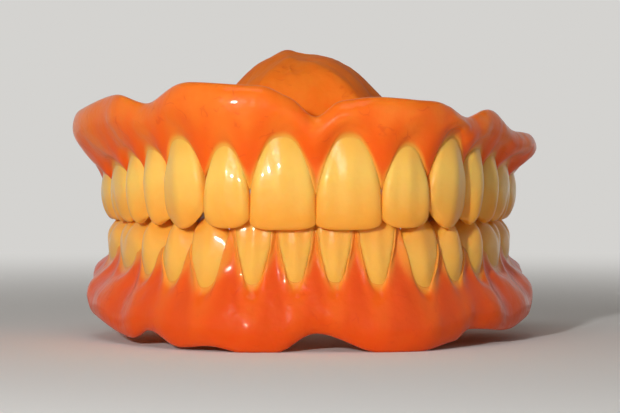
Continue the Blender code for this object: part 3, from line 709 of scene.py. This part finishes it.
def read_values(mesh, name):
    values = np.empty(len(mesh.vertices), dtype=np.float32)
    mesh.attributes[name].data.foreach_get("value", values)
    return values.astype(float)


def smooth_points(mesh, share, times):
    """Average the points of a mesh with their neighbours, each by its own share."""
    points = read_points(mesh)
    smooth = np.stack([smooth_values(mesh, points[:, axis], times) for axis in range(3)], axis=1)
    write_points(mesh, mix(points, smooth, share[:, None]))


def leave_marks(mesh):
    points = read_points(mesh)
    tissue = smooth_values(mesh, 1.0 - read_values(mesh, "polished"), 6)
    above = read_values(mesh, "above_margin")
    waxed = ramp(above, 0.6, 2.0) * (1.0 - ramp(above, 4.0, 8.0)) * read_values(mesh, "cheek_side")

    def bumps(height, size):
        return height * np.array([noise.noise(Vector(point) / size) for point in points])

    height = (bumps(TISSUE_FOLDS, FOLD_SIZE) + bumps(TISSUE_GRAIN, GRAIN_SIZE)) * tissue
    height += bumps(WAX_DIMPLES, DIMPLE_SIZE) * waxed
    write_points(mesh, points + read_normals(mesh) * height[:, None] * MM)


smooth_points(upper_gum.data, smooth_values(upper_gum.data, read_values(upper_gum.data, "palate"), 12), 24)
for mesh in (upper_gum.data, lower_gum.data):
    over_the_necks = ramp(read_values(mesh, "above_margin"), 0.2, 1.4) * read_values(mesh, "cheek_side")
    smooth_points(mesh, over_the_necks, 14)
    leave_marks(mesh)
    write_points(mesh, np.clip(read_points(mesh), measured_box[0], measured_box[1]))

# %% [markdown]
# ## Where gum meets tooth
#
# The acrylic runs thin over each tooth's neck, until it ends in an edge that the eye can't find. Where a tooth's
# flank would stick out of the cheek side, the gum is first brought out over it. Then each point of the gum near a
# tooth is moved in, until it lies off the tooth by about two thirds of its height above the gum line. On the tissue
# side it is moved the other way, so that no tooth comes through. A tree of the teeth's faces answers how far each
# point is from the nearest tooth, and on which side.

# %% Fit the gum to the necks
THIN_AT_MARGIN = -0.03
THICKER_PER_MM = 0.65
THIN_OVER_FLANK = 0.10
TISSUE_CLEARANCE = 0.5
SEARCH_REACH = 6.0
NECK_SHOWS = {"upper": 0.60, "lower": 1.00}
NECK_SHINES = {"upper": 1.0, "lower": 0.75}


def tree_of(pieces):
    joined = bmesh.new()
    for piece in pieces:
        joined.from_mesh(piece.data)
    tree = BVHTree.FromBMesh(joined)
    joined.free()
    return tree


def off_the_teeth(points, tree):
    """Each point's distance from the nearest tooth, in millimetres, negative inside it."""
    distance = np.full(len(points), SEARCH_REACH)
    for index, point in enumerate(points):
        hit, normal, _, gap = tree.find_nearest(point, SEARCH_REACH * MM)
        if hit is not None:
            distance[index] = math.copysign(gap / MM, (Vector(point) - hit).dot(normal))
    return distance


def bring_out(mesh, arch, tree):
    """Where a tooth's flank would stick out of the cheek side, bring the gum out over it, away from the arch."""
    above = read_values(mesh, "above_margin")
    window = read_values(mesh, "cheek_side") * (1.0 - ramp(above, 2.5, 6.0))
    points = read_points(mesh)
    seen = jaw_space(points)
    outward = arch.outward(*arch.along(seen[:, 0], seen[:, 1]))
    for _ in range(3):
        short = np.clip(THIN_OVER_FLANK * np.maximum(above, 0.0) - off_the_teeth(points, tree), 0.0, 1.0) * window
        points += outward * smooth_values(mesh, short, 2)[:, None] * MM
    write_points(mesh, points)


def fit_to_necks(mesh, jaw, tree):
    points = read_points(mesh)
    above = read_values(mesh, "above_margin")
    polished = read_values(mesh, "polished")
    gap = off_the_teeth(points, tree)
    allowed = THIN_AT_MARGIN + THICKER_PER_MM * np.maximum(above, 0.0)
    near = (1.0 - ramp(above, 0.2, 2.2)) * ramp(above, -3.0, -0.5) * (1.0 - ramp(gap, 0.6, 1.8))
    excess = smooth_values(mesh, np.clip(gap - allowed, -0.3, 0.6) * near * polished, 4)
    sunk = smooth_values(mesh, np.clip(TISSUE_CLEARANCE - gap, 0.0, 2.0) * (1.0 - polished), 2)
    write_points(mesh, points + read_normals(mesh) * (sunk - excess)[:, None] * MM)
    gap = off_the_teeth(read_points(mesh), tree)
    cover = smooth_values(mesh, 1.0 - ramp(gap, 0.0, NECK_SHOWS[jaw]), 2) * polished * NECK_SHINES[jaw]
    store(mesh, "tooth_shows", cover)
    print(mesh.name, "moved in by up to %.2f mm" % excess.max(), "and out by up to %.2f mm" % sunk.max())


for jaw, gum in (("upper", upper_gum), ("lower", lower_gum)):
    tree = tree_of(teeth[jaw])
    bring_out(gum.data, ARCHES[jaw], tree)
    fit_to_necks(gum.data, jaw, tree)

# %% [markdown]
# ## The acrylic
#
# Denture acrylic is a pink resin that light enters and leaves again a few millimetres on, under a polish as
# smooth as glass. Subsurface scattering gives the glow and a coat the polish. Fine red fibres in the resin
# stand for blood vessels. Shade is painted into the colour: a deeper red between the teeth and along the gum line,
# and a darker tone on the lower gum's cheek side. Over a neck the tooth shines through.
#
# The pattern that breaks up an even colour is needed by gum and tooth alike, so it is a node group.

# %% Helpers for nodes, and the groups that more than one material uses
def feed(tree, value, socket):
    """Link a socket to another one, or set it to a number or a colour."""
    if isinstance(value, bpy.types.NodeSocket):
        tree.links.new(value, socket)
    else:
        socket.default_value = value


def add_node(tree, kind, place, inputs=None, **settings):
    """Add a node with its own settings, and with sockets, numbers or colours for its inputs."""
    node = tree.nodes.new(kind)
    node.location = place
    for name, value in settings.items():
        setattr(node, name, value)
    for name, value in (inputs or {}).items():
        feed(tree, value, node.inputs[name])
    return node


def maths(tree, place, operation, first, second, clamp=True):
    return add_node(
        tree, "ShaderNodeMath", place, {0: first, 1: second}, operation=operation, use_clamp=clamp).outputs[0]


def spread(tree, place, value, start, end):
    """The same smooth step as ramp, as a node."""
    inputs = {"Value": value, "From Min": start, "From Max": end}
    return add_node(tree, "ShaderNodeMapRange", place, inputs, interpolation_type="SMOOTHSTEP").outputs["Result"]


def new_group(name, inputs, output):
    """A group that takes a vector and numbers and gives a number."""
    group = bpy.data.node_groups.new(name, "ShaderNodeTree")
    group.interface.new_socket("Vector", in_out="INPUT", socket_type="NodeSocketVector")
    for label, value in inputs.items():
        group.interface.new_socket(label, in_out="INPUT", socket_type="NodeSocketFloat").default_value = value
    group.interface.new_socket(output, in_out="OUTPUT", socket_type="NodeSocketFloat")
    return group, add_node(group, "NodeGroupInput", (-900, 0)), add_node(group, "NodeGroupOutput", (600, 0))


def soft_mottling():
    """Broad and fine cloudiness, from 0 to 1, on the piece's own coordinates."""
    group, start, end = new_group("soft_mottling", {"Scale": 150.0}, "Value")
    cloud = add_node(group, "ShaderNodeTexNoise", (-600, 200), {
        "Vector": start.outputs["Vector"], "Scale": start.outputs["Scale"], "Detail": 4.0, "Roughness": 0.55})
    feed(group, spread(group, (-300, 200), cloud.outputs["Fac"], 0.32, 0.68), end.inputs["Value"])
    return group


def hand_polish():
    """The height of a surface polished by hand: broad waves with a fine grain on them."""
    group, start, end = new_group("hand_polish", {"Wave Scale": 350.0, "Grain Scale": 2500.0, "Grain": 0.15}, "Height")
    wave = add_node(group, "ShaderNodeTexNoise", (-600, 200), {
        "Vector": start.outputs["Vector"], "Scale": start.outputs["Wave Scale"], "Detail": 2.0})
    grain = add_node(group, "ShaderNodeTexNoise", (-600, -100), {
        "Vector": start.outputs["Vector"], "Scale": start.outputs["Grain Scale"], "Detail": 3.0})
    share = maths(group, (-300, -100), "MULTIPLY", grain.outputs["Fac"], start.outputs["Grain"], clamp=False)
    total = maths(group, (0, 100), "ADD", wave.outputs["Fac"], share, clamp=False)
    feed(group, total, end.inputs["Height"])
    return group


MOTTLING = soft_mottling()
POLISH = hand_polish()
print("node groups:", MOTTLING.name, POLISH.name)

# %% [markdown]
# A fibre is a thin curved line. The edges between Voronoi cells are thin lines too, and bending the cells with
# noise curves them. Most of that net is then hidden by a second noise, so only short loose pieces are left.

# %% The acrylic's material
GUM_LIGHT = (0.96, 0.178, 0.010, 1.0)
# Painted shade between the necks and along the gum line.
GUM_SHADE_BETWEEN = (0.96, 0.112, 0.003, 1.0)
GUM_PALE = (0.98, 0.215, 0.018, 1.0)
FIBRE_RED = (0.62, 0.030, 0.008, 1.0)
# Painted shade on the lower gum.
GUM_SHADE = (0.74, 0.058, 0.002, 1.0)
NECK_GLOW = (0.98, 0.390, 0.050, 1.0)
FIBRE_CELLS, FIBRE_WIDTH, FIBRE_STRENGTH = 210.0, 0.045, 0.24
FIBRE_BEND = 0.006
TISSUE_ROUGH, POLISHED_ROUGH, POLISHED_COAT = 0.55, 0.30, 0.32


def place_group(tree, group, place, inputs):
    """Place a node group and give its only output."""
    return add_node(tree, "ShaderNodeGroup", place, inputs, node_tree=group).outputs[0]


def mix_colour(tree, place, low, high, share):
    return add_node(tree, "ShaderNodeMix", place, {6: low, 7: high, 0: share}, data_type="RGBA").outputs[2]


def attribute(tree, place, name):
    return add_node(tree, "ShaderNodeAttribute", place, attribute_name=name).outputs["Fac"]


def new_material(name, values):
    """A material, its node tree, and its shader with these values."""
    material = bpy.data.materials.new(name)
    material.use_nodes = True
    shader = material.node_tree.nodes["Principled BSDF"]
    for socket, value in values.items():
        shader.inputs[socket].default_value = value
    return material, material.node_tree, shader


def add_bump(tree, place, height, strength, distance, shader):
    bump = add_node(tree, "ShaderNodeBump", place, {"Height": height, "Strength": strength, "Distance": distance})
    feed(tree, bump.outputs["Normal"], shader.inputs["Normal"])


def fibres(tree, place):
    """Short loose lines: what a noise leaves of the bent edges between Voronoi cells."""
    bend = add_node(tree, "ShaderNodeTexNoise", (-1500, -300), {"Vector": place, "Scale": 260.0})
    bent = add_node(tree, "ShaderNodeVectorMath", (-1300, -300), {
        0: bend.outputs["Color"], 1: (FIBRE_BEND,) * 3, 2: place}, operation="MULTIPLY_ADD")
    net = add_node(tree, "ShaderNodeTexVoronoi", (-1100, -300), {
        "Vector": bent.outputs["Vector"], "Scale": FIBRE_CELLS}, feature="DISTANCE_TO_EDGE")
    off_line = spread(tree, (-900, -450), net.outputs["Distance"], 0.0, FIBRE_WIDTH)
    line = maths(tree, (-900, -300), "SUBTRACT", 1.0, off_line)
    some = place_group(tree, MOTTLING, (-1100, -600), {"Vector": place, "Scale": 420.0})
    kept = spread(tree, (-700, -600), some, 0.62, 0.95)
    return maths(tree, (-500, -400), "MULTIPLY", maths(tree, (-600, -300), "MULTIPLY", line, kept), FIBRE_STRENGTH)


def acrylic():
    material, tree, shader = new_material("denture_acrylic", {
        "IOR": 1.49, "Specular IOR Level": 0.06, "Coat Roughness": 0.025,
        "Subsurface Weight": 0.35, "Subsurface Radius": (1.0, 0.32, 0.12), "Subsurface Scale": 0.0022})
    place = add_node(tree, "ShaderNodeTexCoord", (-1600, 0)).outputs["Object"]

    cloud = place_group(tree, MOTTLING, (-1300, 300), {"Vector": place, "Scale": 170.0})
    colour = mix_colour(tree, (-900, 300), GUM_LIGHT, GUM_PALE, cloud)
    # Painted shade: a deeper red between the necks and along the gum line.
    colour = mix_colour(tree, (-700, 400), colour, GUM_SHADE_BETWEEN, attribute(tree, (-1300, 600), "painted_shade_between"))
    # Painted shade: the lower gum's cheek side darker, more so further from the teeth.
    colour = mix_colour(tree, (-600, 400), colour, GUM_SHADE, attribute(tree, (-1300, 800), "painted_lower_shade"))
    colour = mix_colour(tree, (-400, 300), colour, FIBRE_RED, fibres(tree, place))
    colour = mix_colour(tree, (-200, 300), colour, NECK_GLOW, attribute(tree, (-900, 700), "tooth_shows"))
    feed(tree, colour, shader.inputs["Base Color"])

    polished = attribute(tree, (-900, -900), "polished")
    rough = add_node(tree, "ShaderNodeMapRange", (-500, -900), {
        "Value": polished, "To Min": TISSUE_ROUGH, "To Max": POLISHED_ROUGH})
    feed(tree, rough.outputs["Result"], shader.inputs["Roughness"])
    feed(tree, maths(tree, (-500, -1100), "MULTIPLY", polished, POLISHED_COAT), shader.inputs["Coat Weight"])

    relief = place_group(tree, POLISH, (-900, -1300), {
        "Vector": place, "Wave Scale": 420.0, "Grain Scale": 2600.0, "Grain": 0.10})
    add_bump(tree, (-400, -1300), relief, 0.45, 0.0004, shader)
    return material


# %% Painted shade between the teeth and on the lower gum
LOWER_SHADE, LOWER_SHADE_RISE = 0.50, 0.32


def store_painted_shade(mesh, lower):
    """Paint shade into the gum: redder between the necks and along the gum line, and darker on the lower gum's cheek
    side.
    """
    above = read_values(mesh, "above_margin")
    beside = 0.5 - 0.5 * read_values(mesh, "over_root")
    cheek = read_values(mesh, "cheek_side")
    low = 1.0 - ramp(above, 3.0, 9.0)
    # Painted shade between the necks, and a little all along the gum line.
    store(mesh, "painted_shade_between", smooth_values(mesh, beside * low * cheek * 0.9 + 0.10 * low, 6))
    # Painted shade on the lower gum's cheek side, growing away from the teeth.
    store(mesh, "painted_lower_shade", (LOWER_SHADE + LOWER_SHADE_RISE * ramp(above, 2.0, 8.0)) * cheek * lower)


ACRYLIC = acrylic()
for gum in (upper_gum, lower_gum):
    store_painted_shade(gum.data, lower=gum is lower_gum)
    gum.data.materials.clear()
    gum.data.materials.append(ACRYLIC)

# %% [markdown]
# ## The tooth resin
#
# A denture tooth is moulded in layers. Its neck is warmer and deeper, the body is bright, and the biting edge is
# more see-through. Towards that edge a darker orange is painted in as shade. Painted shade also darkens the flanks
# towards the neighbouring teeth, and the whole lower row. The resin lets light in, but less far than the gum does.

# %% The resin's material
RESIN_ROOT = (0.98, 0.360, 0.035, 1.0)
RESIN_NECK = (0.98, 0.500, 0.070, 1.0)
RESIN_BODY = (0.99, 0.575, 0.110, 1.0)
# Painted shade towards the biting edge.
RESIN_TIP_SHADE = (0.98, 0.390, 0.040, 1.0)
# Painted shade on the flanks, where the teeth meet.
RESIN_FLANK_SHADE = (0.92, 0.300, 0.022, 1.0)
# Painted shade on the lower row.
RESIN_LOWER_SHADE = (0.98, 0.400, 0.050, 1.0)
FLANK_SHADE_STRENGTH = 0.55


def resin():
    material, tree, shader = new_material("tooth_resin", {
        "Roughness": 0.28, "IOR": 1.50, "Specular IOR Level": 0.12, "Coat Weight": 0.45, "Coat Roughness": 0.025,
        "Subsurface Weight": 0.45, "Subsurface Radius": (1.0, 0.55, 0.25), "Subsurface Scale": 0.0018})
    place = add_node(tree, "ShaderNodeTexCoord", (-1600, 0)).outputs["Object"]
    height = attribute(tree, (-1300, 300), "neck_to_tip")
    across = attribute(tree, (-1300, 100), "across")

    colour = mix_colour(tree, (-950, 400), RESIN_ROOT, RESIN_NECK, spread(tree, (-1100, 450), height, 0.08, 0.17))
    colour = mix_colour(tree, (-900, 300), colour, RESIN_BODY, spread(tree, (-1100, 300), height, 0.12, 0.42))
    cloud = place_group(tree, MOTTLING, (-1300, 600), {"Vector": place, "Scale": 300.0})
    edge = maths(tree, (-1000, 500), "ADD", height, maths(tree, (-1100, 600), "MULTIPLY", cloud, 0.10))
    # Painted shade: darker orange towards the biting edge.
    colour = mix_colour(tree, (-700, 300), colour, RESIN_TIP_SHADE, spread(tree, (-900, 600), edge, 0.45, 1.08))
    # Painted shade: the flanks darker towards the neighbouring teeth.
    flank = add_node(tree, "ShaderNodeMath", (-1100, 0), {0: across}, operation="ABSOLUTE").outputs[0]
    flank_shade = maths(tree, (-700, 0), "MULTIPLY", spread(tree, (-900, 0), flank, 0.70, 1.05), FLANK_SHADE_STRENGTH)
    colour = mix_colour(tree, (-500, 300), colour, RESIN_FLANK_SHADE, flank_shade)
    # Painted shade: the whole lower row a little darker and more orange.
    colour = mix_colour(tree, (-300, 300), colour, RESIN_LOWER_SHADE, attribute(tree, (-500, 100), "lower_row_shade"))
    feed(tree, colour, shader.inputs["Base Color"])

    relief = place_group(tree, POLISH, (-900, -500), {
        "Vector": place, "Wave Scale": 500.0, "Grain Scale": 3500.0, "Grain": 0.08})
    lines = add_node(tree, "ShaderNodeTexWave", (-900, -800), {
        "Vector": place, "Scale": 420.0, "Distortion": 3.0, "Detail": 2.0}, wave_type="BANDS", bands_direction="Z")
    fine = maths(tree, (-700, -800), "MULTIPLY", lines.outputs["Fac"], 0.03)
    add_bump(tree, (-400, -600), maths(tree, (-600, -600), "ADD", relief, fine, clamp=False), 0.25, 0.0003, shader)
    return material


RESIN = resin()
for tooth in teeth["upper"] + teeth["lower"]:
    tooth.data.materials.clear()
    tooth.data.materials.append(RESIN)
    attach(tooth, "root")
for gum, node_name in ((upper_gum, "upper_base"), (lower_gum, "lower_base")):
    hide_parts(node_name)
    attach(gum, "root")
print("materials:", [material.name for material in bpy.data.materials])

# %% [markdown]
# ## The studio
#
# The denture stands in a round cove: a pale floor whose rim curves up into a wall, so no horizon shows. The main
# lamp is small, near and low on the left, as the highlights in the picture are small and sharp. A broad weak one
# fills the right, and another weak one comes from above. All aim at the denture.

# %% Floor, lamps and world
FLOOR_RADIUS = 1.1
COVE_RADIUS = 0.5
COVE_HEIGHT = 1.3
COVE_STEPS = 12
WALL_STARTS = 0.06
WALL_PALE = 0.30
PAPER_COLOUR = (0.85, 0.84, 0.82, 1.0)
WALL_COLOUR = (0.66, 0.65, 0.63, 1.0)
LAMP_TARGET = Vector((0.0, 0.0, 0.02))
SKY_COLOUR, SKY_STRENGTH = (1.0, 0.94, 0.88, 1.0), 0.20


def glow_on_the_far_wall(tree, shader):
    """Far behind the denture the paper shows one pale colour to the eye. Near it, it is lit and keeps its shadow."""
    seen = add_node(tree, "ShaderNodeLightPath", (-900, 500))
    eye = maths(tree, (-600, 500), "ADD", seen.outputs["Is Camera Ray"], seen.outputs["Is Glossy Ray"])
    eye = maths(tree, (-400, 500), "ADD", eye, seen.outputs["Is Transmission Ray"])
    place = add_node(tree, "ShaderNodeTexCoord", (-900, 200))
    distance = add_node(tree, "ShaderNodeVectorMath", (-700, 200), {0: place.outputs["Object"]}, operation="LENGTH")
    far = spread(tree, (-500, 200), distance.outputs["Value"], WALL_STARTS, WALL_PALE)
    paper = add_node(tree, "ShaderNodeEmission", (-200, 300), {"Color": WALL_COLOUR})
    both = add_node(tree, "ShaderNodeMixShader", (100, 300), {
        0: maths(tree, (-300, 500), "MULTIPLY", eye, far), 1: shader.outputs["BSDF"], 2: paper.outputs["Emission"]})
    feed(tree, both.outputs["Shader"], tree.nodes["Material Output"].inputs["Surface"])


def add_cove():
    bpy.ops.object.select_all(action="DESELECT")
    bpy.ops.mesh.primitive_circle_add(vertices=128, radius=FLOOR_RADIUS, fill_type="NGON")
    cove = bpy.context.active_object
    cove.name = "pale_cove"
    edit_all(cove)
    bpy.ops.mesh.select_mode(type="EDGE")
    bpy.ops.mesh.region_to_loop()
    radius = FLOOR_RADIUS
    for step in range(1, COVE_STEPS + 1):
        turn = math.pi / 2.0 * step / COVE_STEPS
        wider = FLOOR_RADIUS + COVE_RADIUS * math.sin(turn)
        rise = COVE_RADIUS * (math.cos(turn - math.pi / 2.0 / COVE_STEPS) - math.cos(turn))
        bpy.ops.mesh.extrude_region_move(TRANSFORM_OT_translate={"value": (0.0, 0.0, rise)})
        bpy.ops.transform.resize(value=(wider / radius, wider / radius, 1.0), center_override=(0.0, 0.0, 0.0))
        radius = wider
    bpy.ops.mesh.extrude_region_move(TRANSFORM_OT_translate={"value": (0.0, 0.0, COVE_HEIGHT - COVE_RADIUS)})
    bpy.ops.mesh.select_all(action="SELECT")
    bpy.ops.mesh.normals_make_consistent(inside=True)
    bpy.ops.object.mode_set(mode="OBJECT")
    bpy.ops.object.shade_smooth()
    material, tree, shader = new_material("pale_paper", {
        "Base Color": PAPER_COLOUR, "Roughness": 0.9, "Specular IOR Level": 0.0})
    glow_on_the_far_wall(tree, shader)
    cove.data.materials.append(material)
    print("cove:", [round(value, 2) for value in cove.dimensions])


def add_lamp(name, place, size, power):
    bpy.ops.object.light_add(type="AREA", location=place)
    lamp = bpy.context.active_object
    lamp.name = name
    lamp.data.size = size
    lamp.data.energy = power
    lamp.rotation_euler = (LAMP_TARGET - lamp.location).to_track_quat("-Z", "Y").to_euler()


add_cove()
add_lamp("main_lamp", (-0.125, -0.36, 0.110), size=0.022, power=0.96)
add_lamp("broad_fill", (0.45, -0.60, 0.30), size=0.60, power=0.16)
add_lamp("top_fill", (-0.10, -0.30, 0.60), size=0.30, power=0.50)

scene = bpy.context.scene
scene.view_settings.view_transform = "Standard"
scene.world = bpy.data.worlds.new("studio")
scene.world.use_nodes = True
sky = scene.world.node_tree.nodes["Background"]
sky.inputs["Color"].default_value = SKY_COLOUR
sky.inputs["Strength"].default_value = SKY_STRENGTH
